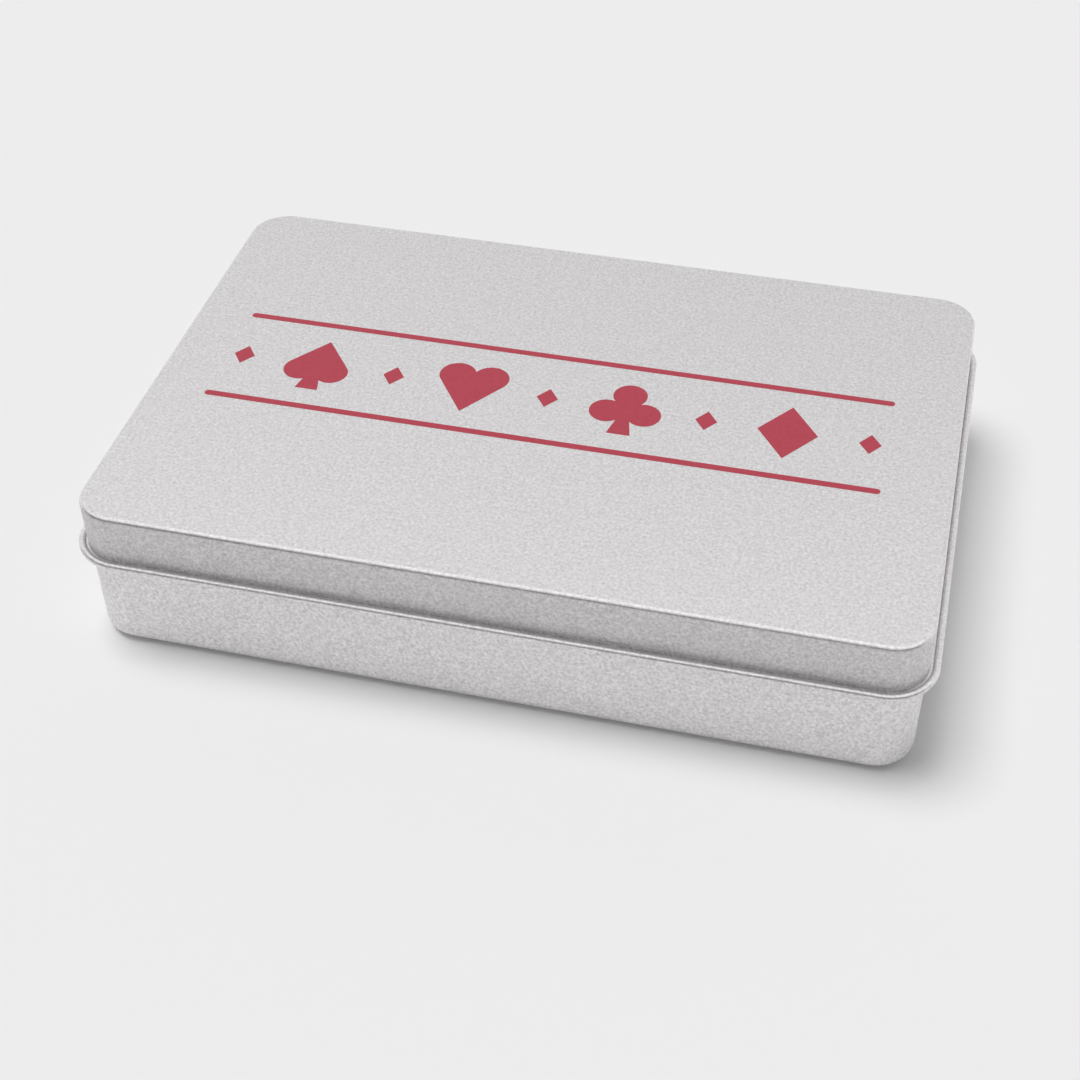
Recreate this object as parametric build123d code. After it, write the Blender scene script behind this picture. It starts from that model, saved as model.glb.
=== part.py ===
from build123d import *
import os
from math import sqrt

# Card game tin with a hinged lid, in millimetres. The middle of its underside is the origin, +Z is
# up, the tin's length lies along X and its hinges are on the +Y side.
#
# Heights are levels above the surface that the tin stands on. In plan, everything on the rim is
# measured as an offset from the lid's outer wall: positive is outwards, negative is inwards.

# ---- the tin's overall form ----
lid_length = 190.0
lid_width = 126.4
total_height = 38.6
corner_radius = 9.4
sheet = 0.25

# ---- lid ----
lid_depth = 12.5
crease_radius = 1.1
hem_height = 2.5

# ---- base pan ----
wall_inset = 0.4
bottom_radius = 3.5
foot_width = 2.5
panel_lift = 0.8
panel_slope_width = 0.8

# ---- the base's rim: a flange of two layers, a wired bead and a neck inside the lid ----
lid_seat_gap = 0.1
bead_radius = 0.85
bead_reach = 2.17
neck_clearance = 0.35
neck_height = 5.4
neck_hem_height = 2.0

# ---- hinges ----
hinge_from_end = 40.0
hinge_width = 24.0
lid_knuckle_width = 9.6
knuckle_play = 0.2
bead_end_gap = 0.4
pin_radius = 0.8
pin_clearance = 0.05
pin_inset = 0.2
knuckle_gap = 0.15
notch_relief = 0.4
knuckle_turn = 290.0
tongue_lap = 1.0

# ---- playing cards ----
card_length = 88.0
card_width = 63.0
card_corner = 3.2
card_thickness = 0.3
cards_per_deck = 90

# ---- formed plastic tray ----
tray_sheet = 0.5
tray_side_gap = 0.6
tray_drop = 2.0
tray_lip_depth = 6.0
tray_edge_chamfer = 0.5
middle_rib = 24.6
well_gap = 1.2
well_draft = 3.0
scoop_width = 20.0
scoop_reach = 9.0
scoop_corner = 7.0

# ---- levels and offsets that follow from the sizes above ----
lid_edge = total_height - lid_depth
shoulder = lid_edge - lid_seat_gap
flange_underside = shoulder - 2 * sheet
bead_level = (flange_underside + shoulder) / 2
bead_middle = bead_reach - bead_radius
neck_face = -(2 * sheet + neck_clearance)
neck_top = shoulder + neck_height
neck_opening = neck_face - 2 * sheet
floor_top = panel_lift + sheet

knuckle_bore = pin_radius + pin_clearance
knuckle_radius = knuckle_bore + sheet
pin_offset = knuckle_bore
pin_level = flange_underside + knuckle_radius
base_knuckle_width = (hinge_width - lid_knuckle_width) / 2 - knuckle_play
notch_top = pin_level + sqrt(knuckle_radius**2 - pin_offset**2) + notch_relief

deck_height = cards_per_deck * card_thickness
tray_top = neck_top - tray_drop
well_floor = floor_top + tray_sheet
well_width = card_width + 2 * well_gap
well_length = card_length + 2 * well_gap


class SheetStrip:
    """Bent sheet metal seen end on: a pen draws the middle of the sheet, face() thickens the line."""

    def __init__(self, start, heading):
        self.point = Vector(*start)
        self.heading = heading
        self.left_edges = []
        self.right_edges = []

    def beside(self, distance):
        """The point at this distance to the left of the pen."""
        return self.point + Vector(distance, 0).rotate(Axis.Z, self.heading + 90)

    def run(self, length):
        """Draw straight ahead."""
        ahead = Vector(length, 0).rotate(Axis.Z, self.heading)
        left = self.beside(sheet / 2)
        right = self.beside(-sheet / 2)
        self.left_edges.append(Line(left, left + ahead))
        self.right_edges.append(Line(right, right + ahead))
        self.point += ahead
        return self

    def step(self, across, up):
        """Draw a sloping step, after which the sheet runs on in the same direction as before."""
        slope = Vector(across, up)
        left = self.beside(sheet / 2)
        right = self.beside(-sheet / 2)
        self.left_edges.append(Line(left, left + slope))
        self.right_edges.append(Line(right, right + slope))
        self.point += slope
        return self

    def bend(self, radius, angle):
        """Draw a bend of this radius at the middle of the sheet. A positive angle turns left."""
        side = 1 if angle > 0 else -1
        centre = self.beside(side * radius)
        first = self.heading - side * 90
        self.left_edges.append(CenterArc(centre, radius - side * sheet / 2, first, angle))
        self.right_edges.append(CenterArc(centre, radius + side * sheet / 2, first, angle))
        self.point = centre + Vector(radius, 0).rotate(Axis.Z, first + angle)
        self.heading += angle
        return self

    def face(self):
        """The sheet's section, closed across both of its cut edges."""
        start_cut = Line(self.right_edges[0] @ 0, self.left_edges[0] @ 0)
        end_cut = Line(self.left_edges[-1] @ 1, self.right_edges[-1] @ 1)
        return make_face([start_cut, *self.left_edges, end_cut, *self.right_edges])


def from_corner_centre(offset):
    """Distance from the centre of a rim corner to a place at this offset from the lid's wall."""
    return corner_radius + offset


def carried_round(section):
    """Carry a section round the tin's rounded rectangle, x = 0 being the centre of each corner."""
    upright = Plane.XZ * section
    quarter_turn = revolve(upright, Axis.Z, 90)
    corner_x = lid_length / 2 - corner_radius
    corner_y = lid_width / 2 - corner_radius
    ring = Part()
    for turn, x, y, run in (
        (0, corner_x, corner_y, 2 * corner_y),
        (90, -corner_x, corner_y, 2 * corner_x),
        (180, -corner_x, -corner_y, 2 * corner_y),
        (270, corner_x, -corner_y, 2 * corner_x),
    ):
        at_corner = Pos(x, y) * Rot(0, 0, turn)
        ring += at_corner * quarter_turn
        ring += at_corner * extrude(upright, run)
    return ring


def middle_plate(underside):
    """The flat sheet between the four corner centres, which closes a ring into a pan."""
    return Pos(0, 0, underside) * Box(
        lid_length - 2 * corner_radius,
        lid_width - 2 * corner_radius,
        sheet,
        align=(Align.CENTER, Align.CENTER, Align.MIN),
    )


def along_hinge(section, width, x):
    """Extrude a section of the back wall, drawn as (offset, level), about the plane at x."""
    on_back_wall = Plane.YZ * (Pos(lid_width / 2, 0) * section)
    return Pos(x, 0, 0) * extrude(on_back_wall, width / 2, both=True)


def block(left, right, bottom, top):
    """A rectangle between two offsets and two levels."""
    return Pos((left + right) / 2, (bottom + top) / 2) * Rectangle(right - left, top - bottom)


def hinge_places():
    """The middle of each hinge along X."""
    place = lid_length / 2 - hinge_from_end
    return -place, place


def knuckle_places(x):
    """The middles of the two base knuckles of the hinge at x."""
    step = lid_knuckle_width / 2 + knuckle_play + base_knuckle_width / 2
    return x - step, x + step


def pan_section():
    """Floor, foot and wall of the base: a raised floor panel, a foot round it and a wide bend."""
    foot_start = from_corner_centre(-wall_inset - bottom_radius - foot_width)
    strip = SheetStrip((0, panel_lift + sheet / 2), 0)
    strip.run(foot_start - panel_slope_width)
    strip.step(panel_slope_width, -panel_lift)
    strip.run(foot_width)
    strip.bend(bottom_radius - sheet / 2, 90)
    strip.run(flange_underside - bottom_radius)
    return strip.face()


def rim_section():
    """The sheet goes out from the wall to the bead and back in to the neck, which ends in a hem."""
    wall_inside = from_corner_centre(-wall_inset - sheet)
    neck_outside = from_corner_centre(neck_face)
    neck_inside = neck_outside - sheet
    hem_inside = neck_inside - sheet
    bead_centre = from_corner_centre(bead_middle)
    flange = block(wall_inside, bead_centre, flange_underside, shoulder)
    flange += block(neck_inside, bead_centre, shoulder - sheet, shoulder)
    bead = Pos(bead_centre, bead_level) * Circle(bead_radius)
    neck = block(neck_inside, neck_outside, shoulder - sheet, neck_top)
    hem = block(hem_inside, neck_outside, neck_top - neck_hem_height, neck_top)
    return flange + neck + hem + bead


def lid_section():
    """The lid seen end on: flat top, tight crease, straight skirt and a hem folded up inside it."""
    wall_outside = from_corner_centre(0)
    wall_inside = wall_outside - sheet
    outside = block(0, wall_outside, lid_edge, total_height)
    crease = outside.vertices().group_by(Axis.Y)[-1].sort_by(Axis.X)[-1]
    outside = fillet(crease, crease_radius)
    inside = block(0, wall_inside, lid_edge, total_height - sheet)
    bend = inside.vertices().group_by(Axis.Y)[-1].sort_by(Axis.X)[-1]
    inside = chamfer(bend, crease_radius / 2)
    hem = block(wall_inside - sheet, wall_inside, lid_edge, lid_edge + hem_height)
    return outside - inside + hem


def hinge_slot_section():
    """What is cut from the base's rim at a hinge: the bead, and room for the knuckles to turn."""
    room = Pos(pin_offset, pin_level) * Circle(knuckle_radius + knuckle_gap)
    half_side = bead_radius + knuckle_gap
    bead = Pos(bead_middle, bead_level) * Rectangle(2 * half_side, 2 * half_side)
    return room + bead


def base_knuckle_section():
    """A knuckle rolled from the base's flange."""
    pin_centre = Pos(pin_offset, pin_level)
    flange = block(-wall_inset, pin_offset, flange_underside, shoulder)
    return flange + pin_centre * Circle(knuckle_radius) - pin_centre * Circle(knuckle_bore)


def lid_knuckle_section():
    """A tongue of the lid's skirt that runs down and curls outwards round the pin."""
    top = notch_top + tongue_lap
    strip = SheetStrip((-sheet / 2, top), -90)
    strip.run(top - pin_level)
    strip.bend(pin_offset + sheet / 2, knuckle_turn)
    return strip.face()


def build_base():
    """The drawn base with its rim, opened at both hinges and given its own knuckles there."""
    base = carried_round(pan_section() + rim_section()) + middle_plate(panel_lift)
    for x in hinge_places():
        base -= along_hinge(hinge_slot_section(), hinge_width + 2 * bead_end_gap, x)
        for knuckle_x in knuckle_places(x):
            base += along_hinge(base_knuckle_section(), base_knuckle_width, knuckle_x)
    return base


def build_lid():
    """The drawn lid, its back skirt notched over the base's knuckles and curled round the pins."""
    lid = carried_round(lid_section()) + middle_plate(total_height - sheet)
    notch = block(-sheet, sheet, lid_edge - sheet, notch_top)
    notch += block(-3 * sheet, -sheet, lid_edge - sheet, lid_edge + hem_height + sheet)
    for x in hinge_places():
        lid -= along_hinge(notch, hinge_width + 2 * bead_end_gap, x)
        lid += along_hinge(lid_knuckle_section(), lid_knuckle_width, x)
    return lid


def build_hinge_pin(x):
    """A straight length of wire, cut square."""
    wire = Cylinder(pin_radius, hinge_width - 2 * pin_inset, rotation=(0, 90, 0))
    return Pos(x, lid_width / 2 + pin_offset, pin_level) * wire


def drafted_block(width, length, corner, wall):
    """A block with drafted sides and one corner radius all the way up, from the floor of the wells.

    It is grown by wall: 0 for the inside of a well, the sheet for its outside.
    """
    plan = Rectangle(width + 2 * wall, length + 2 * wall)
    form = extrude(plan, tray_top - well_floor + wall)
    form = draft(form.faces().filter_by(Axis.Z, reverse=True), Plane.XY, -well_draft)
    upright_edges = form.edges() - form.edges().filter_by(Plane.XY)
    return Pos(0, 0, well_floor - wall) * fillet(upright_edges, corner + wall)


def well(wall):
    """A card well and the finger scoops in the middle of both of its ends."""
    space = drafted_block(well_width, well_length, card_corner + well_gap, wall)
    scoops = drafted_block(scoop_width, well_length + 2 * scoop_reach, scoop_corner, wall)
    return space + scoops


def well_places():
    """The middle of each card well along X."""
    place = (well_width + middle_rib) / 2
    return -place, place


def tray_plan(inset):
    """The tray's outline, which clears the neck's hem, drawn smaller by the inset."""
    offset = neck_opening - tray_side_gap - inset
    return RectangleRounded(
        lid_length + 2 * offset,
        lid_width + 2 * offset,
        corner_radius + offset,
    )


def tray_lip():
    """The tray's top and lip: a shallow box that is open below, with its top edge taken off."""
    outside = extrude(tray_plan(0), -tray_lip_depth)
    outside = chamfer(outside.edges().group_by(Axis.Z)[-1], tray_edge_chamfer)
    inside = Pos(0, 0, -tray_sheet) * extrude(tray_plan(tray_sheet), -tray_lip_depth)
    return Pos(0, 0, tray_top) * (outside - inside)


def build_tray():
    """The plastic tray: a formed sheet with a lip and two card wells with finger scoops."""
    tray = tray_lip()
    for x in well_places():
        tray += Pos(x, 0) * well(tray_sheet)
    for x in well_places():
        tray -= Pos(x, 0) * well(0)
    return tray


def build_deck(x):
    """A squared-up deck of playing cards, standing on the floor of its well."""
    card = RectangleRounded(card_width, card_length, card_corner)
    return Pos(x, 0, well_floor) * extrude(card, deck_height)


def main():
    """Build every piece and write each to its own file."""
    left_hinge, right_hinge = hinge_places()
    left_well, right_well = well_places()
    pieces = {
        "base_pan": build_base(),
        "hinged_lid": build_lid(),
        "hinge_pin_left": build_hinge_pin(left_hinge),
        "hinge_pin_right": build_hinge_pin(right_hinge),
        "card_tray": build_tray(),
        "card_deck_left": build_deck(left_well),
        "card_deck_right": build_deck(right_well),
    }
    os.makedirs("parts", exist_ok=True)
    for name, piece in pieces.items():
        export_step(piece, f"parts/{name}.step")


main()
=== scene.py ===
"""Looks for a card game tin with a hinged lid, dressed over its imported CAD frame.

The tin stands on its underside with +Z up, its length along X and its hinges on the +Y side.
Lengths are metres, and MM turns a size in millimetres into metres.
"""

from __future__ import annotations

import logging
import math
import random
from collections.abc import Sequence
from dataclasses import dataclass
from enum import Enum

import bmesh
import bpy
from mathutils import Matrix, Vector

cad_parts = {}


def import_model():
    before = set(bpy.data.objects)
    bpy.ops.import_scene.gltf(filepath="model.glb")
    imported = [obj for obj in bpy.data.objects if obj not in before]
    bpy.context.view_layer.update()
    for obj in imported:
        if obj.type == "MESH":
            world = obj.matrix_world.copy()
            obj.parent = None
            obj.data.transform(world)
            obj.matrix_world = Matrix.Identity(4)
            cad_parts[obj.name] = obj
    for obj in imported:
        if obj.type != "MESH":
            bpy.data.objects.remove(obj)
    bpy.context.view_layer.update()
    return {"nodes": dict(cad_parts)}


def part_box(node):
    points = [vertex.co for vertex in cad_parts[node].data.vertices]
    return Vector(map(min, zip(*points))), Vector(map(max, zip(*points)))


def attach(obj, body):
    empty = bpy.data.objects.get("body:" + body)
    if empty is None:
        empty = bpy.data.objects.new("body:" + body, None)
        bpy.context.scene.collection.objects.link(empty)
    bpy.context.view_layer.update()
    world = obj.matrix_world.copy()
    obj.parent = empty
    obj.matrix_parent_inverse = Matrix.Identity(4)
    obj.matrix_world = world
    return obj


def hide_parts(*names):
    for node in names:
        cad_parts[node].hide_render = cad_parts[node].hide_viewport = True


LOG = logging.getLogger("card_game_tin")
MM = 0.001

# Sockets of the Mix node when it mixes colours, whose names are shared by its other data types.
MIX_FACTOR, MIX_A, MIX_B, MIX_RESULT = 0, 6, 7, 2

# The levels that nearly all of a noise texture lies between.
NOISE_LOW, NOISE_HIGH = 0.25, 0.75

# A ray this nearly parallel to a side never meets it, and one that misses a side by less than the
# slack, as a share of the side's length, still does.
PARALLEL_LIMIT = 1e-9
CORNER_SLACK = 1e-6

# The seed for how the left deck's cards lie. The right deck's is the next one.
FIRST_SEED = 7

# A Plan is an outline seen from above, Tones are a ramp's levels and colours, a Ring is an
# outline's points in a mesh, and a Box is its low and its high corner.
Plan = list[tuple[float, float]]
Tones = tuple[tuple[float, str], ...]
Points = list[tuple[float, float, float]]
Faces = list[tuple[int, ...]]
Inputs = dict[str | int, object]
Tree = bpy.types.NodeTree
Socket = bpy.types.NodeSocket
Ring = list[bmesh.types.BMVert]
Box = tuple[Vector, Vector]


# --------------------------------------
# Colours, nodes and meshes
# --------------------------------------


def hex_to_linear(colour: str) -> tuple[float, float, float, float]:
    """Turn an sRGB hex colour into the linear colour that a shader takes.

    Args:
        colour: The colour as "#RRGGBB".

    Returns:
        Linear red, green and blue, with an alpha of 1.
    """
    levels = (int(colour[place : place + 2], 16) / 255 for place in (1, 3, 5))
    # The sRGB curve is a straight line near black and a power curve above it.
    linear = (
        level / 12.92 if level <= 0.04045 else ((level + 0.055) / 1.055) ** 2.4
        for level in levels
    )
    return (*linear, 1.0)


def add_node(
    tree: Tree, kind: str, inputs: Inputs | None = None, **settings: object
) -> bpy.types.Node:
    """Add a node with its settings, input values and links.

    Args:
        tree: The node tree that gets the node.
        kind: The node's type name.
        inputs: For each input socket, by name or number, a value or the output socket to link.
        **settings: Properties of the node itself.

    Returns:
        The new node.
    """
    node = tree.nodes.new(kind)
    for name, value in settings.items():
        setattr(node, name, value)
    for socket, value in (inputs or {}).items():
        if isinstance(value, Socket):
            tree.links.new(value, node.inputs[socket])
        else:
            node.inputs[socket].default_value = value
    return node


def set_ramp(node: bpy.types.Node, stops: Tones) -> None:
    """Set the stops of a colour ramp.

    Args:
        node: The colour ramp node.
        stops: Each stop's place from 0 to 1 and its sRGB hex colour, in order.
    """
    elements = node.color_ramp.elements
    while len(elements) < len(stops):
        elements.new(1.0)
    for element, (place, colour) in zip(elements, stops):
        element.position = place
        element.color = hex_to_linear(colour)


def mesh_object(
    name: str, points: Points, faces: Faces, material: bpy.types.Material
) -> bpy.types.Object:
    """Make a flat-shaded mesh object in the scene.

    Args:
        name: The object's name.
        points: The mesh's points in metres.
        faces: The point numbers round each face.
        material: The finish of every face.

    Returns:
        The new object.
    """
    mesh = bpy.data.meshes.new(name)
    mesh.from_pydata(points, [], faces)
    mesh.materials.append(material)
    mesh.update()
    made = bpy.data.objects.new(name, mesh)
    bpy.context.scene.collection.objects.link(made)
    return made


def rounded_outline(corners: Plan, radii: Sequence[float], steps: int) -> Plan:
    """Round the corners of a right-angled outline.

    Args:
        corners: The sharp corners, anticlockwise, with every side along X or Y.
        radii: Each corner's radius.
        steps: The number of straight steps in each rounded corner.

    Returns:
        The outline's points, with the same number at every corner.
    """
    outline: Plan = []
    for place, (corner, radius) in enumerate(zip(corners, radii)):
        here = Vector(corner)
        before = (Vector(corners[place - 1]) - here).normalized()
        after = (Vector(corners[(place + 1) % len(corners)]) - here).normalized()
        centre = here + (before + after) * radius
        for step in range(steps + 1):
            turn = math.pi / 2 * step / steps
            point = centre - (after * math.cos(turn) + before * math.sin(turn)) * radius
            outline.append((point.x, point.y))
    return outline


def rounded_rectangle(width: float, length: float, radius: float, steps: int) -> Plan:
    """Draw a rounded rectangle about the origin.

    Args:
        width: Its size along X.
        length: Its size along Y.
        radius: Its corner radius.
        steps: The number of straight steps in each corner.

    Returns:
        The outline's points, anticlockwise.
    """
    x, y = width / 2, length / 2
    return rounded_outline([(x, y), (-x, y), (-x, -y), (x, -y)], [radius] * 4, steps)


# --------------------------------------
# Finishes
# --------------------------------------


@dataclass(frozen=True)
class Finish:
    """What every finish shares: a material with patterns that feed one principled shader."""

    def surface(self, tree: Tree) -> Inputs:
        """Draw the finish's patterns.

        Args:
            tree: The material's node tree.

        Returns:
            The shader's input values and links.
        """
        raise NotImplementedError

    def material(self, name: str) -> bpy.types.Material:
        """Make the finish's material.

        Args:
            name: The material's name.

        Returns:
            The material.
        """
        material = bpy.data.materials.new(name)
        material.use_nodes = True
        tree = material.node_tree
        tree.nodes.clear()
        shader = add_node(tree, "ShaderNodeBsdfPrincipled", self.surface(tree))
        add_node(tree, "ShaderNodeOutputMaterial", {"Surface": shader.outputs["BSDF"]})
        return material


@dataclass(frozen=True)
class StoneFinishTinplate(Finish):
    """Tinplate, rolled with a stone finish: bare tin over fine dull grit marks.

    The eye sees a matt silver that is paler where it faces a light, speckled all over without a
    direction. Drawing stretches the sides, so they are rougher and more speckled than the flats.
    The sides' own tone is painted light and shade, set apart from the flats' tone by which way
    the surface faces.
    The marks of real tinplate are finer, and are drawn as coarse as they need to show.
    """

    flat: str = "#E8E6E7"
    # The sides' tone, which is painted light and shade set apart from the flats' tone.
    drawn: str = "#ECEAEB"
    flat_contrast: float = 0.19
    drawn_contrast: float = 0.22
    flat_roughness: float = 0.42
    drawn_roughness: float = 0.60
    roughness_spread: float = 0.24
    fleck_size: float = 0.70 * MM
    fleck_detail: float = 2.0
    fleck_fineness: float = 0.6
    grit_size: float = 0.30 * MM
    grit_detail: float = 1.0
    grit_depth: float = 0.012 * MM
    # How far a surface faces up, as the Z of its normal, where it stops being drawn and is flat.
    # The painted light and shade of the sides' tone gives way to the flats' tone between them.
    drawn_up_to: float = 0.15
    flat_from: float = 0.55

    def surface(self, tree: Tree) -> Inputs:
        """Draw the tin's flecks, the painted shading of its sides and the dull marks of the grit.

        Args:
            tree: The material's node tree.

        Returns:
            The shader's input values and links.
        """
        place = add_node(tree, "ShaderNodeTexCoord")
        facing = add_node(tree, "ShaderNodeSeparateXYZ", {"Vector": place.outputs["Normal"]})
        # How flat the surface lies; it also sets where the sides' painted shading lies.
        flatness = add_node(
            tree,
            "ShaderNodeMapRange",
            {
                "Value": facing.outputs["Z"],
                "From Min": self.drawn_up_to,
                "From Max": self.flat_from,
            },
            interpolation_type="SMOOTHSTEP",
        )
        flecks = add_node(
            tree,
            "ShaderNodeTexNoise",
            {
                "Vector": place.outputs["Object"],
                "Scale": 1 / self.fleck_size,
                "Detail": self.fleck_detail,
                "Roughness": self.fleck_fineness,
            },
        )
        grit = add_node(
            tree,
            "ShaderNodeTexNoise",
            {
                "Vector": place.outputs["Object"],
                "Scale": 1 / self.grit_size,
                "Detail": self.grit_detail,
            },
        )
        relief = add_node(
            tree,
            "ShaderNodeBump",
            {"Strength": 1.0, "Distance": self.grit_depth, "Height": grit.outputs["Fac"]},
        )
        return {
            "Base Color": self.tin_with_flecks_and_painted_side_shade(tree, flatness.outputs[0], flecks.outputs["Fac"]),
            "Metallic": 1.0,
            "Roughness": self.rubbed_roughness(tree, flatness.outputs[0], grit.outputs["Fac"]),
            "Normal": relief.outputs["Normal"],
        }

    def tin_with_flecks_and_painted_side_shade(self, tree: Tree, flatness: Socket, flecks: Socket) -> Socket:
        """Mix the flat tin's tone with the sides' tone, which is painted light and shade, and
        lighten and darken it by the flecks.

        Args:
            tree: The material's node tree.
            flatness: The socket of how flat the surface lies, from 0 to 1.
            flecks: The socket of the flecks' noise.

        Returns:
            The socket of the flecked colour, with its painted side shading.
        """
        # The sides' tone mixed in here is painted light and shade, set by which way the surface
        # faces.
        tin = add_node(
            tree,
            "ShaderNodeMix",
            {
                MIX_FACTOR: flatness,
                MIX_A: hex_to_linear(self.drawn),
                MIX_B: hex_to_linear(self.flat),
            },
            data_type="RGBA",
        )
        contrast = add_node(
            tree,
            "ShaderNodeMapRange",
            {"Value": flatness, "To Min": self.drawn_contrast, "To Max": self.flat_contrast},
        )
        fleck = add_node(
            tree,
            "ShaderNodeMapRange",
            {
                "Value": flecks,
                "From Min": NOISE_LOW,
                "From Max": NOISE_HIGH,
                "To Min": -1.0,
                "To Max": 1.0,
            },
            clamp=False,
        )
        shade = add_node(
            tree,
            "ShaderNodeMath",
            {0: fleck.outputs["Result"], 1: contrast.outputs["Result"], 2: 1.0},
            operation="MULTIPLY_ADD",
        )
        flecked = add_node(
            tree,
            "ShaderNodeVectorMath",
            {0: tin.outputs[MIX_RESULT], "Scale": shade.outputs["Value"]},
            operation="SCALE",
        )
        return flecked.outputs["Vector"]

    def rubbed_roughness(self, tree: Tree, flatness: Socket, grit: Socket) -> Socket:
        """Mix the roughness of the drawn and the flat tin, and spread it by the grit marks.

        Args:
            tree: The material's node tree.
            flatness: The socket of how flat the surface lies, from 0 to 1.
            grit: The socket of the grit's noise.

        Returns:
            The socket of the roughness.
        """
        dullness = add_node(
            tree,
            "ShaderNodeMapRange",
            {"Value": flatness, "To Min": self.drawn_roughness, "To Max": self.flat_roughness},
        )
        rubbed = add_node(
            tree,
            "ShaderNodeMapRange",
            {
                "Value": grit,
                "From Min": NOISE_LOW,
                "From Max": NOISE_HIGH,
                "To Min": -self.roughness_spread / 2,
                "To Max": self.roughness_spread / 2,
            },
        )
        dulled = add_node(
            tree,
            "ShaderNodeMath",
            {0: dullness.outputs["Result"], 1: rubbed.outputs["Result"]},
            operation="ADD",
        )
        return dulled.outputs["Value"]


@dataclass(frozen=True)
class DrawnWire(Finish):
    """Hard-drawn steel wire, pulled through a die.

    The eye sees fine lines along the wire, and a brighter and narrower gloss than on tinplate.
    """

    tones: Tones = ((0.35, "#8F8E8C"), (0.6, "#B9B8B6"))
    roughness: float = 0.25
    line_pitch: float = 0.08 * MM
    line_length: float = 6.0 * MM

    def surface(self, tree: Tree) -> Inputs:
        """Draw the die's lines along the wire, which lies along X.

        Args:
            tree: The material's node tree.

        Returns:
            The shader's input values and links.
        """
        place = add_node(tree, "ShaderNodeTexCoord")
        along = add_node(
            tree,
            "ShaderNodeMapping",
            {
                "Vector": place.outputs["Object"],
                "Scale": (1 / self.line_length, 1 / self.line_pitch, 1 / self.line_pitch),
            },
        )
        lines = add_node(
            tree, "ShaderNodeTexNoise", {"Vector": along.outputs["Vector"], "Scale": 1.0}
        )
        colour = add_node(tree, "ShaderNodeValToRGB", {"Fac": lines.outputs["Fac"]})
        set_ramp(colour, self.tones)
        return {"Base Color": colour.outputs["Color"], "Metallic": 1.0, "Roughness": self.roughness}


@dataclass(frozen=True)
class MottledFinish(Finish):
    """A finish with a soft mottle of two tones, without a direction, that may also ripple it."""

    tones: Tones
    patch_size: float
    patch_detail: float
    roughness: float
    ior: float
    ripple_depth: float = 0.0

    def surface(self, tree: Tree) -> Inputs:
        """Draw the mottle.

        Args:
            tree: The material's node tree.

        Returns:
            The shader's input values and links.
        """
        place = add_node(tree, "ShaderNodeTexCoord")
        noise = add_node(
            tree,
            "ShaderNodeTexNoise",
            {
                "Vector": place.outputs["Object"],
                "Scale": 1 / self.patch_size,
                "Detail": self.patch_detail,
            },
        )
        colour = add_node(tree, "ShaderNodeValToRGB", {"Fac": noise.outputs["Fac"]})
        set_ramp(colour, self.tones)
        inputs = {
            "Base Color": colour.outputs["Color"],
            "Roughness": self.roughness,
            "IOR": self.ior,
        }
        if self.ripple_depth:
            ripple = add_node(
                tree,
                "ShaderNodeBump",
                {"Strength": 1.0, "Distance": self.ripple_depth, "Height": noise.outputs["Fac"]},
            )
            inputs["Normal"] = ripple.outputs["Normal"]
        return inputs


@dataclass(frozen=True)
class OffsetInk(MottledFinish):
    """Litho ink baked on to the tinplate.

    The eye sees a thin even red film through which the plate's flecks just show.
    """

    tones: Tones = ((0.3, "#A83243"), (0.7, "#AD3B4B"))
    patch_size: float = 0.75 * MM
    patch_detail: float = 2.0
    roughness: float = 0.42
    ior: float = 1.5


@dataclass(frozen=True)
class FormedPolystyrene(MottledFinish):
    """Black high-impact polystyrene sheet, vacuum formed.

    The eye sees a satin skin with a very faint ripple.
    """

    tones: Tones = ((0.35, "#232325"), (0.65, "#2B2B2D"))
    patch_size: float = 9.0 * MM
    patch_detail: float = 1.0
    roughness: float = 0.38
    ior: float = 1.55
    ripple_depth: float = 0.03 * MM


@dataclass(frozen=True)
class CoatedCardStock(MottledFinish):
    """White playing card board, die cut.

    The eye sees matt fibrous edges with a trace of grey from one card to the next.
    """

    tones: Tones = ((0.2, "#CFCDC8"), (0.45, "#EDEBE6"))
    patch_size: float = 0.4 * MM
    patch_detail: float = 2.0
    roughness: float = 0.6
    ior: float = 1.5


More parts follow.
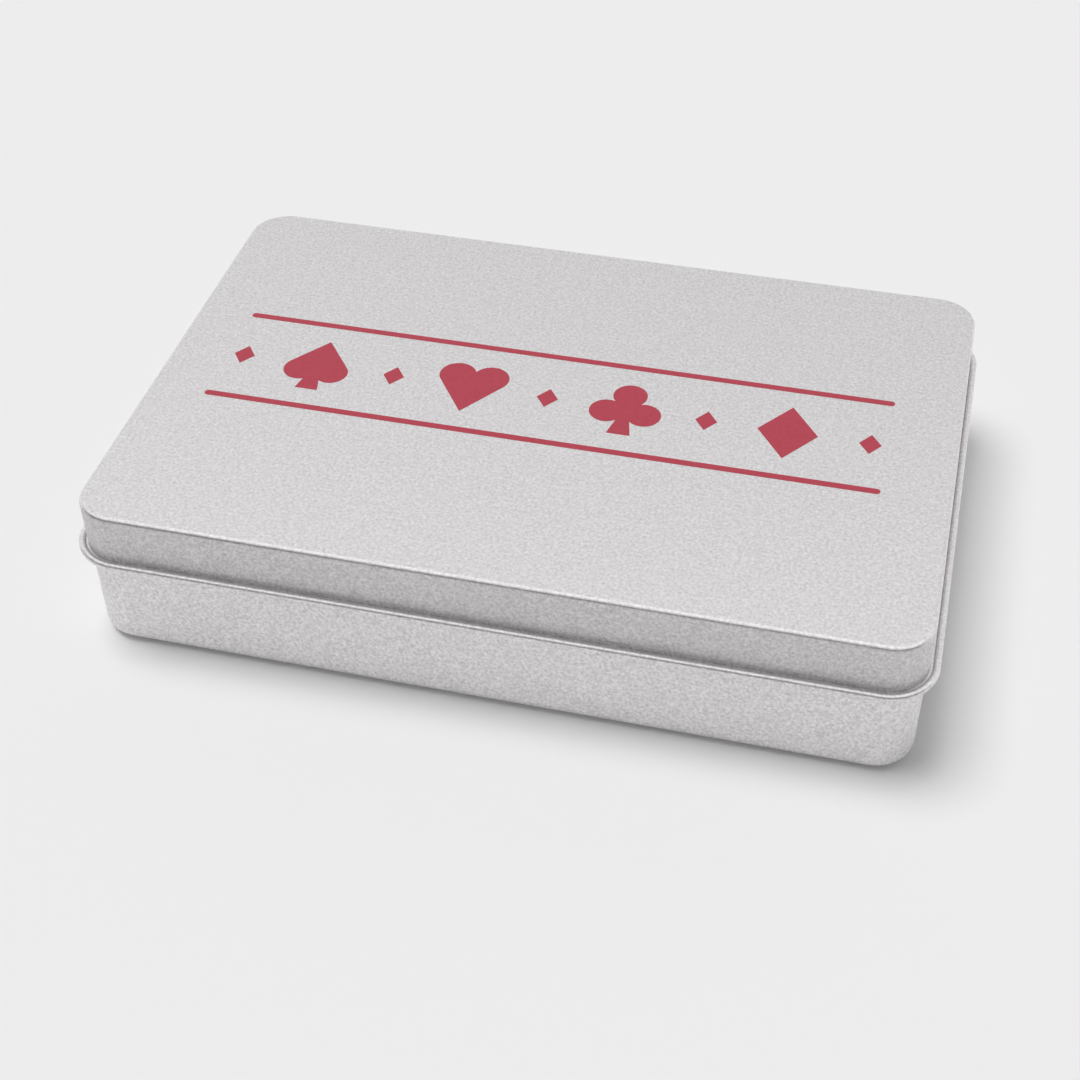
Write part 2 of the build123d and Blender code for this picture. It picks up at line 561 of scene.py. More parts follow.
@dataclass(frozen=True)
class LatticeCardBack(Finish):
    """A card back, printed and pressed with a linen weave.

    The eye sees a white border round a red field that is crossed by a fine diagonal lattice.
    """

    card_width: float
    card_length: float
    middle: tuple[float, float]
    white: str = "#EFEDE8"
    red: str = "#A93A46"
    border: float = 5.0 * MM
    lattice_pitch: float = 3.4 * MM
    lattice_line: float = 0.55 * MM
    weave_pitch: float = 0.5 * MM
    weave_depth: float = 0.008 * MM
    roughness: float = 0.4

    def surface(self, tree: Tree) -> Inputs:
        """Draw the print and the weave.

        Args:
            tree: The material's node tree.

        Returns:
            The shader's input values and links.
        """
        place = add_node(tree, "ShaderNodeTexCoord")
        centred = add_node(
            tree,
            "ShaderNodeVectorMath",
            {0: place.outputs["Object"], 1: (-self.middle[0], -self.middle[1], 0.0)},
            operation="ADD",
        )
        plan = add_node(tree, "ShaderNodeSeparateXYZ", {"Vector": centred.outputs["Vector"]})
        printed = 1.0
        for test in self.red_tests(tree, plan):
            both = add_node(tree, "ShaderNodeMath", {0: printed, 1: test}, operation="MULTIPLY")
            printed = both.outputs["Value"]
        colour = add_node(
            tree,
            "ShaderNodeMix",
            {MIX_FACTOR: printed, MIX_A: hex_to_linear(self.white), MIX_B: hex_to_linear(self.red)},
            data_type="RGBA",
        )
        weave = add_node(
            tree,
            "ShaderNodeTexVoronoi",
            {"Vector": centred.outputs["Vector"], "Scale": 1 / self.weave_pitch},
        )
        relief = add_node(
            tree,
            "ShaderNodeBump",
            {"Strength": 1.0, "Distance": self.weave_depth, "Height": weave.outputs["Distance"]},
        )
        return {
            "Base Color": colour.outputs[MIX_RESULT],
            "Roughness": self.roughness,
            "Normal": relief.outputs["Normal"],
        }

    def red_tests(self, tree: Tree, plan: bpy.types.Node) -> list[Socket]:
        """Test for red, which is printed inside the border and off the lines of both slopes.

        Args:
            tree: The material's node tree.
            plan: The node that gives the place on the card.

        Returns:
            The sockets of the tests, each 0 or 1.
        """
        tests = []
        for axis, size in (("X", self.card_width), ("Y", self.card_length)):
            out = add_node(tree, "ShaderNodeMath", {0: plan.outputs[axis]}, operation="ABSOLUTE")
            inside = add_node(
                tree,
                "ShaderNodeMath",
                {0: out.outputs["Value"], 1: size / 2 - self.border},
                operation="LESS_THAN",
            )
            tests.append(inside.outputs["Value"])
        for slope in (1.0, -1.0):
            diagonal = add_node(
                tree,
                "ShaderNodeMath",
                {0: plan.outputs["Y"], 1: slope, 2: plan.outputs["X"]},
                operation="MULTIPLY_ADD",
            )
            wave = add_node(
                tree,
                "ShaderNodeMath",
                {0: diagonal.outputs["Value"], 1: self.lattice_pitch},
                operation="PINGPONG",
            )
            gap = add_node(
                tree,
                "ShaderNodeMath",
                {0: wave.outputs["Value"], 1: self.lattice_line},
                operation="GREATER_THAN",
            )
            tests.append(gap.outputs["Value"])
        return tests


@dataclass(frozen=True)
class StudioPaper(Finish):
    """Seamless background paper, uncoated.

    The eye sees an even, matt, very pale grey.
    """

    paper: str = "#ECECEC"
    roughness: float = 1.0

    def surface(self, tree: Tree) -> Inputs:
        """Give the paper its one tone, with no gloss.

        Args:
            tree: The material's node tree, which needs no pattern.

        Returns:
            The shader's input values.
        """
        return {
            "Base Color": hex_to_linear(self.paper),
            "Roughness": self.roughness,
            "Specular IOR Level": 0.0,
        }


# --------------------------------------
# The tin's own metal
# --------------------------------------


@dataclass
class SmoothShading:
    """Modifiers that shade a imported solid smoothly, up to the angle of its real edges."""

    edge_angle: float = math.radians(25)
    weld_distance: float = 0.001 * MM

    def angle_group(self) -> Tree:
        """Make the node group that shades smoothly but for the edges sharper than the angle.

        Returns:
            The node group.
        """
        group = bpy.data.node_groups.new("smooth_up_to_an_angle", "GeometryNodeTree")
        for direction in ("INPUT", "OUTPUT"):
            group.interface.new_socket(
                "Geometry", in_out=direction, socket_type="NodeSocketGeometry"
            )
        entry = add_node(group, "NodeGroupInput")
        faces = add_node(
            group, "GeometryNodeSetShadeSmooth", {"Geometry": entry.outputs["Geometry"]}
        )
        angle = add_node(group, "GeometryNodeInputMeshEdgeAngle")
        gentle = add_node(
            group,
            "FunctionNodeCompare",
            {0: angle.outputs["Unsigned Angle"], 1: self.edge_angle},
            operation="LESS_EQUAL",
        )
        edges = add_node(
            group,
            "GeometryNodeSetShadeSmooth",
            {"Geometry": faces.outputs["Geometry"], "Shade Smooth": gentle.outputs["Result"]},
            domain="EDGE",
        )
        add_node(group, "NodeGroupOutput", {"Geometry": edges.outputs["Geometry"]})
        return group

    def apply(self, pieces: Sequence[bpy.types.Object]) -> None:
        """Add the modifiers.

        Args:
            pieces: The objects to shade.
        """
        group = self.angle_group()
        for piece in pieces:
            weld = piece.modifiers.new("weld", "WELD")
            weld.merge_threshold = self.weld_distance
            smooth = piece.modifiers.new("smooth", "NODES")
            smooth.node_group = group
            weighted = piece.modifiers.new("weighted_normal", "WEIGHTED_NORMAL")
            weighted.keep_sharp = True


@dataclass
class TinShell:
    """The drawn base and lid and the hinge wires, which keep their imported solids."""

    nodes: dict[str, bpy.types.Object]
    lid_finish: StoneFinishTinplate
    base_finish: StoneFinishTinplate
    wire_finish: DrawnWire

    def dress(self) -> list[bpy.types.Object]:
        """Give the solids their metals and their smooth shading.

        Returns:
            The dressed objects.
        """
        wire = self.wire_finish.material("drawn_steel_wire")
        finishes = {
            "hinged_lid": self.lid_finish.material("stone_finish_tinplate_lid"),
            "base_pan": self.base_finish.material("stone_finish_tinplate_base"),
            "hinge_pin_left": wire,
            "hinge_pin_right": wire,
        }
        pieces = [self.nodes[name] for name in finishes]
        for piece, finish in zip(pieces, finishes.values()):
            piece.data.materials.clear()
            piece.data.materials.append(finish)
        SmoothShading().apply(pieces)
        return pieces


# --------------------------------------
# The print on the lid
# --------------------------------------


@dataclass(frozen=True)
class Disc:
    """A round part of a card suit, in heights of the suit."""

    x: float
    y: float
    radius: float

    def reach(self, direction: Vector) -> float:
        """Measure how far a ray from the suit's middle goes before it leaves the disc for good.

        Args:
            direction: The ray's direction, of length 1.

        Returns:
            The distance, which is 0 for a ray that misses the disc.
        """
        across = self.x * direction.y - self.y * direction.x
        if abs(across) >= self.radius:
            return 0.0
        along = self.x * direction.x + self.y * direction.y
        return along + math.sqrt(self.radius**2 - across**2)

    def tangent_point(self, tip: Vector) -> Vector:
        """Find where a line from the tip touches the disc, on the side away from the middle line.

        Args:
            tip: A point on the middle line, outside the disc.

        Returns:
            The point of contact.
        """
        to_centre = Vector((self.x, self.y)) - tip
        length = math.sqrt(to_centre.length_squared - self.radius**2)
        swing = math.asin(self.radius / to_centre.length)
        side = -1 if (self.x > 0) == (to_centre.y > 0) else 1
        return tip + to_centre.normalized() @ Matrix.Rotation(-side * swing, 2) * length


@dataclass(frozen=True)
class Facets:
    """A straight-sided convex part of a card suit, round its middle or beginning there."""

    corners: tuple[tuple[float, float], ...]

    def reach(self, direction: Vector) -> float:
        """Measure how far a ray from the suit's middle goes before it leaves the part for good.

        Args:
            direction: The ray's direction, of length 1.

        Returns:
            The distance, which is 0 for a ray that misses the part.
        """
        farthest = 0.0
        for place, corner in enumerate(self.corners):
            start = Vector(self.corners[place - 1])
            side = Vector(corner) - start
            turn = direction.x * side.y - direction.y * side.x
            if abs(turn) < PARALLEL_LIMIT:
                continue
            distance = (start.x * side.y - start.y * side.x) / turn
            share = (start.x * direction.y - start.y * direction.x) / turn
            if -CORNER_SLACK <= share <= 1 + CORNER_SLACK:
                farthest = max(farthest, distance)
        return farthest


def lobed_point(
    tip_y: float, lobe_x: float, lobe_y: float, radius: float
) -> tuple[Disc | Facets, ...]:
    """Two round lobes and the straight sides from them to a point, as in a heart or a spade.

    Args:
        tip_y: The height of the point on the middle line.
        lobe_x: How far each lobe's centre is from the middle line.
        lobe_y: The height of the lobes' centres.
        radius: The lobes' radius.

    Returns:
        The parts.
    """
    lobes = [Disc(-lobe_x, lobe_y, radius), Disc(lobe_x, lobe_y, radius)]
    tip = Vector((0.0, tip_y))
    touches = [lobe.tangent_point(tip) for lobe in lobes]
    return (*lobes, Facets((tuple(tip), *(tuple(touch) for touch in touches))))


def stem(top_width: float, foot_width: float, foot_y: float) -> Facets:
    """The flared stem of a spade or a club, from the middle down to its foot."""
    top, foot = top_width / 2, foot_width / 2
    return Facets(((-top, 0.0), (top, 0.0), (foot, foot_y), (-foot, foot_y)))


class Suit(Enum):
    """The four card suits, 1 high, each as parts that a ray from its middle leaves once."""

    SPADE = (
        *lobed_point(tip_y=0.50, lobe_x=0.205, lobe_y=-0.115, radius=0.215),
        stem(top_width=0.06, foot_width=0.30, foot_y=-0.50),
    )
    HEART = lobed_point(tip_y=-0.50, lobe_x=0.215, lobe_y=0.215, radius=0.235)
    CLUB = (
        Disc(x=0.0, y=0.27, radius=0.215),
        Disc(x=-0.235, y=-0.075, radius=0.215),
        Disc(x=0.235, y=-0.075, radius=0.215),
        Disc(x=0.0, y=0.03, radius=0.12),
        stem(top_width=0.06, foot_width=0.30, foot_y=-0.50),
    )
    DIAMOND = (Facets(corners=((0.0, 0.5), (-0.37, 0.0), (0.0, -0.5), (0.37, 0.0))),)

    def outline(self, height: float, steps: int) -> Plan:
        """Draw the suit about its middle.

        Args:
            height: The suit's height.
            steps: The number of points round it, a multiple of 4 so that its tips are kept.

        Returns:
            The outline's points, anticlockwise.
        """
        outline: Plan = []
        for step in range(steps):
            turn = 2 * math.pi * step / steps
            direction = Vector((math.cos(turn), math.sin(turn)))
            reach = max(part.reach(direction) for part in self.value) * height
            outline.append((direction.x * reach, direction.y * reach))
        return outline


@dataclass
class LidPrint:
    """A plain printed band on the lid: a row of card suits and lozenges between two rules."""

    lid_top: float
    finish: OffsetInk
    middle: tuple[float, float] = (-1.0 * MM, 1.0 * MM)
    band_length: float = 160.0 * MM
    band_width: float = 34.0 * MM
    rule_width: float = 1.8 * MM
    suit_height: float = 19.0 * MM
    suit_spacing: float = 38.0 * MM
    lozenge_height: float = 7.0 * MM
    film: float = 0.02 * MM
    suit_steps: int = 288
    lozenge_steps: int = 8
    rule_corner_steps: int = 6
    # Just under a half, which leaves a short straight end between a rule's two corners.
    rule_corner_share: float = 0.49

    def forms(self) -> list[Plan]:
        """Draw every printed form in the plan of the lid, each one seen whole from its middle.

        Returns:
            The outlines.
        """
        forms = []
        suits = list(Suit)
        first = -(len(suits) - 1) / 2 * self.suit_spacing
        for place, suit in enumerate(suits):
            drawn = suit.outline(self.suit_height, self.suit_steps)
            forms.append(self.moved(drawn, first + place * self.suit_spacing))
        lozenge = Suit.DIAMOND.outline(self.lozenge_height, self.lozenge_steps)
        for place in range(len(suits) + 1):
            forms.append(self.moved(lozenge, first + (place - 0.5) * self.suit_spacing))
        corner = self.rule_width * self.rule_corner_share
        rule = rounded_rectangle(self.band_length, self.rule_width, corner, self.rule_corner_steps)
        for side in (-1, 1):
            forms.append(self.moved(rule, 0.0, side * (self.band_width - self.rule_width) / 2))
        return forms

    def moved(self, outline: Plan, x: float, y: float = 0.0) -> Plan:
        """The outline moved to a place in the band."""
        return [(self.middle[0] + x + px, self.middle[1] + y + py) for px, py in outline]

    def build(self) -> bpy.types.Object:
        """Make the print as one thin film just above the lid.

        Returns:
            The print, riding on the lid.
        """
        points: Points = []
        faces: Faces = []
        level = self.lid_top + self.film
        for outline in self.forms():
            centre = len(points)
            middle = [sum(values) / len(outline) for values in zip(*outline)]
            points.append((*middle, level))
            points += [(x, y, level) for x, y in outline]
            count = len(outline)
            faces += [
                (centre, centre + 1 + place, centre + 1 + (place + 1) % count)
                for place in range(count)
            ]
        film = mesh_object("lid_print", points, faces, self.finish.material("baked_litho_ink"))
        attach(film, "lid")
        return film


# --------------------------------------
# The tray and the cards
# --------------------------------------


def ring(shell: bmesh.types.BMesh, outline: Plan, level: float) -> Ring:
    """Add the points of an outline at one level, and return them."""
    return [shell.verts.new((x, y, level)) for x, y in outline]


def bridge(shell: bmesh.types.BMesh, first: Ring, second: Ring) -> None:
    """Join two rings of as many points with a band of faces."""
    for place in range(len(first)):
        shell.faces.new((first[place - 1], first[place], second[place], second[place - 1]))


def quarter_turn(radius: float, steps: int) -> Plan:
    """Step round a quarter of a rounded edge.

    Args:
        radius: The edge's radius.
        steps: The number of straight steps.

    Returns:
        For each step its distance from the first face and its distance from the second.
    """
    turns = [math.pi / 2 * step / steps for step in range(steps + 1)]
    return [(radius * (1 - math.cos(turn)), radius * (1 - math.sin(turn))) for turn in turns]


@dataclass
class CardTray:
    """The vacuum-formed tray: one sheet drawn down into two card wells with finger scoops."""

    box: Box
    decks: Sequence[Box]
    finish: FormedPolystyrene
    sheet: float = 0.5 * MM
    lip_depth: float = 6.0 * MM
    lip_corner: float = 7.45 * MM
    edge_radius: float = 0.9 * MM
    rim_radius: float = 1.0 * MM
    floor_radius: float = 0.9 * MM
    well_gap: float = 1.2 * MM
    well_corner: float = 4.4 * MM
    well_draft: float = math.radians(3)
    scoop_width: float = 20.0 * MM
    scoop_reach: float = 9.0 * MM
    scoop_corner: float = 7.0 * MM
    scoop_mouth: float = 2.0 * MM
    arc_steps: int = 5
    corner_steps: int = 10
    # Points whose X agrees to this many decimals of a metre lie on one side.
    side_digits: int = 6

    def well_outline(self, deck: Box, draft: float, rim: float) -> Plan:
        """Draw a well and its scoops at one level.

        Args:
            deck: The box of the deck that stands in the well.
            draft: How far the walls have leant out at this level.
            rim: How far the rounded rim has opened out, or the floor's bend closed in.

        Returns:
            The outline's points, anticlockwise.
        """
        low, high = deck
        middle = (low + high) / 2
        grown = self.well_gap + draft + rim
        x, y = (high.x - low.x) / 2 + grown, (high.y - low.y) / 2 + grown
        scoop = self.scoop_width / 2 + draft + rim
        end = y + self.scoop_reach
        quarter = [(x, y), (scoop, y), (scoop, end)]
        corners = [(x, -y), *quarter]
        corners += [(-px, py) for px, py in reversed(quarter)]
        corners += [(-px, -py) for px, py in quarter]
        corners += [(px, -py) for px, py in reversed(quarter[1:])]
        well, mouth, far = self.well_corner + rim, self.scoop_mouth - rim, self.scoop_corner + rim
        radii = [well, well, mouth, far, far, mouth, well, well, mouth, far, far, mouth]
        outline = rounded_outline(corners, radii, self.corner_steps)
        return [(middle.x + px, middle.y + py) for px, py in outline]

    def draw_well(self, shell: bmesh.types.BMesh, deck: Box) -> Ring:
        """Draw a well from its rim down to its floor.

        Args:
            shell: The mesh to draw in.
            deck: The box of the deck that stands in the well.

        Returns:
            The rim's points.
        """
        top, floor = self.box[1].z, deck[0].z
        lean = math.tan(self.well_draft)
        rim = quarter_turn(self.rim_radius, self.arc_steps)
        bend = quarter_turn(self.floor_radius, self.arc_steps)
        levels = [(top - drop, opening) for drop, opening in rim]
        levels += [(floor + rise, -closing) for closing, rise in bend]
        rings = [
            ring(shell, self.well_outline(deck, (level - floor) * lean, opening), level)
            for level, opening in levels
        ]
        for upper, lower in zip(rings, rings[1:]):
            bridge(shell, lower, upper)
        shell.faces.new(rings[-1])
        return rings[0]

    def draw_lip(self, shell: bmesh.types.BMesh) -> Ring:
        """Draw the lip, from the top face round its edge and down.

        Args:
            shell: The mesh to draw in.

        Returns:
            The points where the lip meets the top face.
        """
        low, high = self.box
        edge = quarter_turn(self.edge_radius, self.arc_steps)
        rings = []
        for drop, inset in (*edge, (self.lip_depth, 0.0)):
            outline = rounded_rectangle(
                high.x - low.x - 2 * inset,
                high.y - low.y - 2 * inset,
                self.lip_corner - inset,
                self.corner_steps,
            )
            rings.append(ring(shell, outline, high.z - drop))
        for upper, lower in zip(rings, rings[1:]):
            bridge(shell, upper, lower)
        return rings[0]

    def draw_top(self, shell: bmesh.types.BMesh, lip: Ring, wells: Sequence[Ring]) -> None:
        """Draw the top face as a front and a back part that meet at the back corners.

        Args:
            shell: The mesh to draw in.
            lip: The points where the lip meets the top face.
            wells: The rim's points of each well, from left to right.
        """
        front, back = [], []
        for loop in (lip, *wells):
            left, right = (self.back_corner(loop, side) for side in (1, -1))
            turned = loop[left:] + loop[:left]
            split = (right - left) % len(loop)
            front.append(turned[: split + 1])
            back.append([*turned[split:], turned[0]])
        holes = [point for run in reversed(front[1:]) for point in reversed(run)]
        shell.faces.new([*front[0], *holes])
        holes = [point for run in back[1:] for point in reversed(run)]
        shell.faces.new([*back[0], *holes])

    def back_corner(self, loop: Ring, side: int) -> int:
        """Find the point of a loop that lies farthest to one side, and of those farthest back.

        Args:
            loop: The loop's points.
            side: 1 for the left side, -1 for the right.

        Returns:
            The point's number in the loop.
        """
        outward = [(round(side * point.co.x, self.side_digits), -point.co.y) for point in loop]
        return outward.index(min(outward))

    def build(self) -> bpy.types.Object:
        """Make the tray's upper face as one smooth surface and thicken it downwards.

        Returns:
            The tray, riding on the base.
        """
        shell = bmesh.new()
        wells = [self.draw_well(shell, deck) for deck in self.decks]
        self.draw_top(shell, self.draw_lip(shell), wells)
        bmesh.ops.recalc_face_normals(shell, faces=shell.faces)
        mesh = bpy.data.meshes.new("card_tray_formed")
        shell.to_mesh(mesh)
        shell.free()
        mesh.polygons.foreach_set("use_smooth", [True] * len(mesh.polygons))
        mesh.materials.append(self.finish.material("formed_polystyrene"))
        tray = bpy.data.objects.new("card_tray_formed", mesh)
        bpy.context.scene.collection.objects.link(tray)
        gauge = tray.modifiers.new("gauge", "SOLIDIFY")
        gauge.thickness = self.sheet
        gauge.offset = -1.0
        weighted = tray.modifiers.new("weighted_normal", "WEIGHTED_NORMAL")
        weighted.keep_sharp = True
        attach(tray, "base")
        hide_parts("card_tray")
        return tray


@dataclass
class CardDeck:
    """A squared-up deck: thin cards with rounded corners that lie a hair out of line."""

    name: str
    box: Box
    stock: CoatedCardStock
    seed: int
    cards: int = 90
    corner: float = 3.2 * MM
    corner_steps: int = 6
    air: float = 0.03 * MM
    stray: float = 0.12 * MM
    stray_turn: float = math.radians(0.12)

    def card(self, level: float, thickness: float, chance: random.Random) -> tuple[Points, Faces]:
        """Make one card.

        Args:
            level: The height of its underside.
            thickness: Its thickness.
            chance: The source of its small shift and turn.

        Returns:
            Its points and its faces.
        """
        low, high = self.box
        outline = rounded_rectangle(high.x - low.x, high.y - low.y, self.corner, self.corner_steps)
        middle = (low + high) / 2
        turn = chance.uniform(-self.stray_turn, self.stray_turn)
        shift = Vector((chance.uniform(-1, 1), chance.uniform(-1, 1))) * self.stray
        placed = [Vector(point) @ Matrix.Rotation(turn, 2) + shift for point in outline]
        count = len(placed)
        points = [
            (middle.x + point.x, middle.y + point.y, height)
            for height in (level, level + thickness)
            for point in placed
        ]
        faces = [tuple(reversed(range(count))), tuple(range(count, 2 * count))]
        faces += [
            (place, (place + 1) % count, count + (place + 1) % count, count + place)
            for place in range(count)
        ]
        return points, faces

    def build(self) -> list[bpy.types.Object]:
        """Make the deck and its top card, whose back is printed.

        Returns:
            The deck and the top card, riding on the base.
        """
        low, high = self.box
        chance = random.Random(self.seed)
        pitch = (high.z - low.z) / self.cards
        thickness = pitch - self.air
        points: Points = []
        faces: Faces = []
        for number in range(self.cards - 1):
            more_points, more_faces = self.card(low.z + number * pitch, thickness, chance)
            faces += [tuple(corner + len(points) for corner in face) for face in more_faces]
            points += more_points
        deck = mesh_object(
            f"{self.name}_cards", points, faces, self.stock.material(f"{self.name}_card_board")
        )
        back = LatticeCardBack(
            card_width=high.x - low.x,
            card_length=high.y - low.y,
            middle=((low.x + high.x) / 2, (low.y + high.y) / 2),
        )
        top_points, top_faces = self.card(high.z - thickness, thickness, chance)
        top = mesh_object(
            f"{self.name}_top_card",
            top_points,
            top_faces,
            back.material(f"{self.name}_lattice_card_back"),
        )
        for piece, slot in ((deck, "card_stock"), (top, "card_back_print")):
            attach(piece, "base")
        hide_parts(self.name)
        return [deck, top]


# --------------------------------------
# The studio
# --------------------------------------


def bearing(turn: float, height: float) -> Vector:
    """Work out a direction from the tin.

    Args:
        turn: Its turn from straight in front towards the right.
        height: Its angle above the floor.

    Returns:
        The direction, of length 1.
    """
    flat = math.cos(height)
    return Vector((math.sin(turn) * flat, -math.cos(turn) * flat, math.sin(height)))


@dataclass
class StudioSet:
    """A pale paper floor in a pale studio, with the camera above the right front."""

    lid_top: float
    paper: StudioPaper
    floor_half_size: float = 4.0
    camera_turn: float = math.radians(14.547)
    camera_pitch: float = math.radians(42.453)
    camera_roll: float = math.radians(-0.896)
    camera_distance: float = 392.96 * MM
    aim: tuple[float, float] = (9.287 * MM, -47.659 * MM)
    near_limit: float = 10.0 * MM
    # The sensor's width and the focal length, in millimetres.
    sensor: float = 36.0
    lens: float = 60.62
    key_strength: float = 1.97
    key_turn: float = math.radians(-94)
    key_height: float = math.radians(75)
    key_width: float = math.radians(32)
    pale: str = "#ECECEC"
    fill_strength: float = 0.45
    # The tones that the metal mirrors, each with its height: the Z of its direction, up from level.
    back_tones: Tones = (
        (0.0, "#ECECEC"),
        (0.35, "#CECECE"),
        (0.57, "#DCDCDC"),
        (0.75, "#F4F4F4"),
        (1.0, "#FFFFFF"),
    )
    front_tones: Tones = (
        (0.0, "#303030"),
        (0.42, "#303030"),
        (0.68, "#EAEAEA"),
        (0.84, "#F8F8F8"),
        (1.0, "#FFFFFF"),
    )
    # The front tones give way to the back ones where the direction's Y is within this reach of 0.
    blend_reach: float = 0.35
    # The mirrored studio brightens overhead between these heights, and with the square of X aside.
    overhead_from: float = 0.72
    overhead_to: float = 0.96
    overhead_strength: float = 1.25
    middle_strength: float = 0.93
    side_gain: float = 0.55

    def floor(self) -> bpy.types.Object:
        """Lay the paper.

        Returns:
            The paper.
        """
        size = self.floor_half_size
        corners = [(-size, -size, 0.0), (size, -size, 0.0), (size, size, 0.0), (-size, size, 0.0)]
        material = self.paper.material("studio_paper")
        paper = mesh_object("studio_floor", corners, [(0, 1, 2, 3)], material)
        return paper

    def mirrored_tone(self, tree: Tree, look: bpy.types.Node) -> Socket:
        """Grade the studio that the metal mirrors, which is dim low down in front.

        Args:
            tree: The world's node tree.
            look: The node that gives the direction.

        Returns:
            The socket of the colour.
        """
        ramps = []
        for tones in (self.front_tones, self.back_tones):
            ramp = add_node(tree, "ShaderNodeValToRGB", {"Fac": look.outputs["Z"]})
            set_ramp(ramp, tones)
            ramps.append(ramp)
        backwards = add_node(
            tree,
            "ShaderNodeMapRange",
            {
                "Value": look.outputs["Y"],
                "From Min": -self.blend_reach,
                "From Max": self.blend_reach,
            },
            interpolation_type="SMOOTHSTEP",
        )
        surroundings = add_node(
            tree,
            "ShaderNodeMix",
            {
                MIX_FACTOR: backwards.outputs["Result"],
                MIX_A: ramps[0].outputs["Color"],
                MIX_B: ramps[1].outputs["Color"],
            },
            data_type="RGBA",
        )
        return surroundings.outputs[MIX_RESULT]

    def mirrored_strength(self, tree: Tree, look: bpy.types.Node) -> Socket:
        """Brighten the mirrored studio overhead and towards both sides.

        Args:
            tree: The world's node tree.
            look: The node that gives the direction.

        Returns:
            The socket of the strength.
        """
        overhead = add_node(
            tree,
            "ShaderNodeMapRange",
            {
                "Value": look.outputs["Z"],
                "From Min": self.overhead_from,
                "From Max": self.overhead_to,
                "To Min": 1.0,
                "To Max": self.overhead_strength,
            },
        )
        aside = add_node(
            tree,
            "ShaderNodeMath",
            {0: look.outputs["X"], 1: look.outputs["X"]},
            operation="MULTIPLY",
        )
        sideways = add_node(
            tree,
            "ShaderNodeMath",
            {0: aside.outputs["Value"], 1: self.side_gain, 2: self.middle_strength},
            operation="MULTIPLY_ADD",
        )
        strength = add_node(
            tree,
            "ShaderNodeMath",
            {0: overhead.outputs["Result"], 1: sideways.outputs["Value"]},
            operation="MULTIPLY",
        )
        return strength.outputs["Value"]

    def world(self) -> None:
        """Light the set from all round, and show the camera an even pale backdrop.

        The metal mirrors a graded studio, matt surfaces get an even fill, and the camera sees the
        backdrop.
        """
        world = bpy.data.worlds.new("studio_light")
        bpy.context.scene.world = world
        world.use_nodes = True
        tree = world.node_tree
        tree.nodes.clear()
        place = add_node(tree, "ShaderNodeTexCoord")
        look = add_node(tree, "ShaderNodeSeparateXYZ", {"Vector": place.outputs["Generated"]})
        tone = self.mirrored_tone(tree, look)
        strength = self.mirrored_strength(tree, look)
        pale = hex_to_linear(self.pale)
        mirrored = add_node(tree, "ShaderNodeBackground", {"Color": tone, "Strength": strength})
        fill = add_node(
            tree, "ShaderNodeBackground", {"Color": pale, "Strength": self.fill_strength}
        )
        backdrop = add_node(tree, "ShaderNodeBackground", {"Color": pale, "Strength": 1.0})
        rays = add_node(tree, "ShaderNodeLightPath")
        light = mirrored.outputs["Background"]
        for ray, seen in (("Is Diffuse Ray", fill), ("Is Camera Ray", backdrop)):
            choice = add_node(
                tree,
                "ShaderNodeMixShader",
                {0: rays.outputs[ray], 1: light, 2: seen.outputs["Background"]},
            )
            light = choice.outputs["Shader"]
        add_node(tree, "ShaderNodeOutputWorld", {"Surface": light})

    def sun(self) -> bpy.types.Object:
        """Hang the soft light high at the left, hidden from what the metal mirrors.

        Returns:
            The light.
        """
        lamp = bpy.data.lights.new("soft_key", "SUN")
        lamp.energy = self.key_strength
        lamp.angle = self.key_width
        key = bpy.data.objects.new("soft_key", lamp)
        key.visible_glossy = False
        bpy.context.scene.collection.objects.link(key)
        towards = bearing(self.key_turn, self.key_height)
        key.rotation_euler = towards.to_track_quat("Z", "Y").to_euler()
        return key

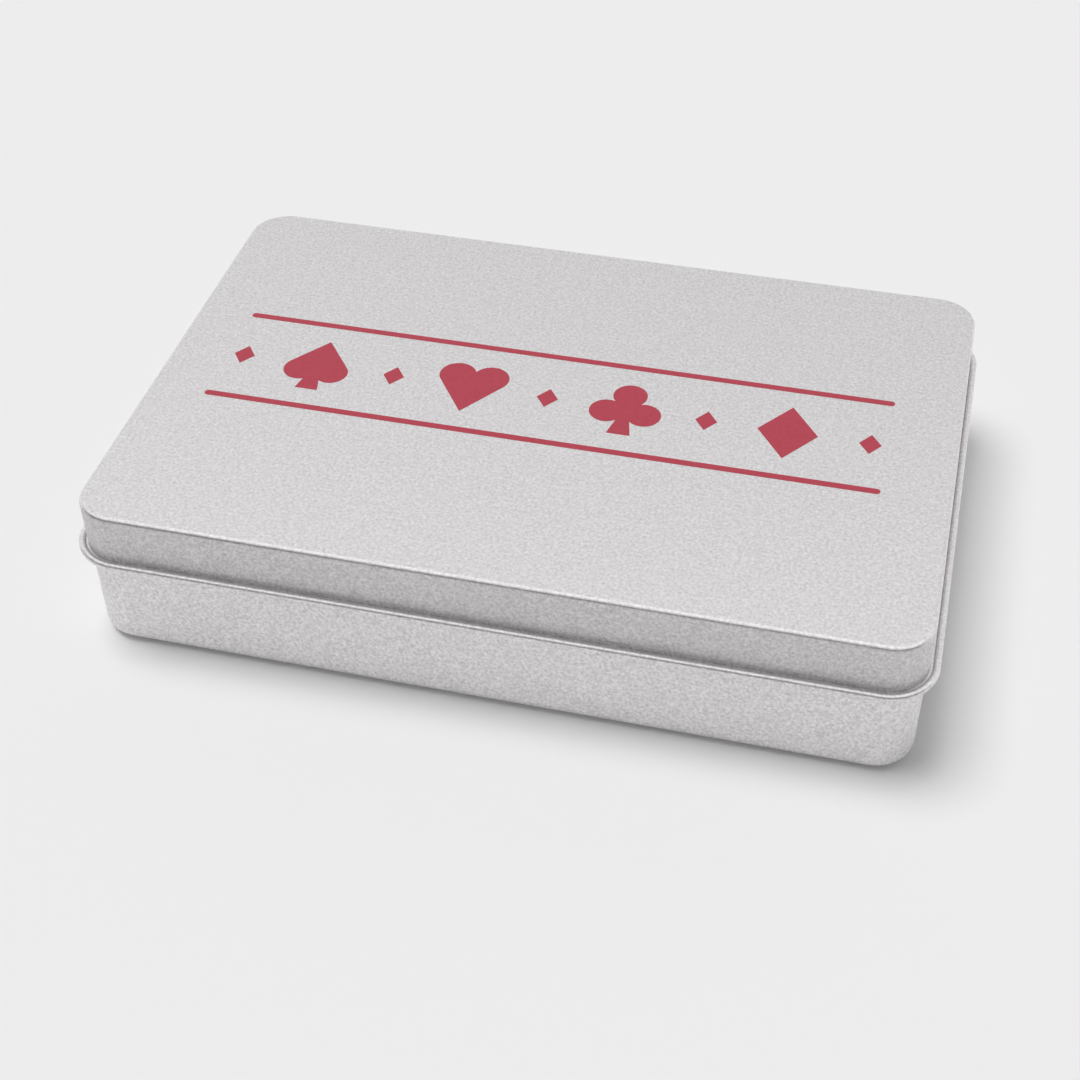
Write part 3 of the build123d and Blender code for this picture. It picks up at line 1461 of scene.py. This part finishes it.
    def camera(self) -> bpy.types.Object:
        """Stand the camera above the right front corner of the tin.

        Returns:
            The camera.
        """
        back = bearing(self.camera_turn, self.camera_pitch)
        right = Vector((math.cos(self.camera_turn), math.sin(self.camera_turn), 0.0))
        up = back.cross(right)
        rolled_right = right * math.cos(self.camera_roll) + up * math.sin(self.camera_roll)
        rolled_up = up * math.cos(self.camera_roll) - right * math.sin(self.camera_roll)
        aim = Vector((*self.aim, self.lid_top))
        lens = bpy.data.cameras.new("camera")
        lens.sensor_fit = "HORIZONTAL"
        lens.sensor_width = self.sensor
        lens.lens = self.lens
        lens.clip_start = self.near_limit
        eye = bpy.data.objects.new("camera", lens)
        bpy.context.scene.collection.objects.link(eye)
        turn = Matrix((rolled_right, rolled_up, back)).transposed()
        eye.matrix_world = Matrix.Translation(aim + back * self.camera_distance) @ turn.to_4x4()
        bpy.context.scene.camera = eye
        return eye


def main() -> None:
    """Build every piece in order and report each one."""
    logging.basicConfig(level=logging.INFO, format="%(name)s: %(message)s")
    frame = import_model()
    lid_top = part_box("hinged_lid")[1].z

    studio = StudioSet(lid_top=lid_top, paper=StudioPaper())
    studio.floor()
    studio.world()
    studio.sun()
    studio.camera()
    LOG.info("the studio set stands")

    # The lid's darker side tone is painted shade on its skirt.
    shell = TinShell(
        nodes=frame["nodes"],
        lid_finish=StoneFinishTinplate(drawn="#DBD9DA"),
        base_finish=StoneFinishTinplate(),
        wire_finish=DrawnWire(),
    )
    for piece in shell.dress():
        LOG.info("dressed %s", piece.name)

    film = LidPrint(lid_top=lid_top, finish=OffsetInk()).build()
    LOG.info("printed %s", film.name)

    decks = ("card_deck_left", "card_deck_right")
    tray = CardTray(
        box=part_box("card_tray"),
        decks=[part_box(name) for name in decks],
        finish=FormedPolystyrene(),
    ).build()
    LOG.info("formed %s", tray.name)
    for number, name in enumerate(decks):
        for piece in CardDeck(
            name=name, box=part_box(name), stock=CoatedCardStock(), seed=FIRST_SEED + number
        ).build():
            LOG.info("laid %s", piece.name)

    scene = bpy.context.scene
    scene.view_settings.view_transform = "Standard"


if __name__ == "__main__":
    main()
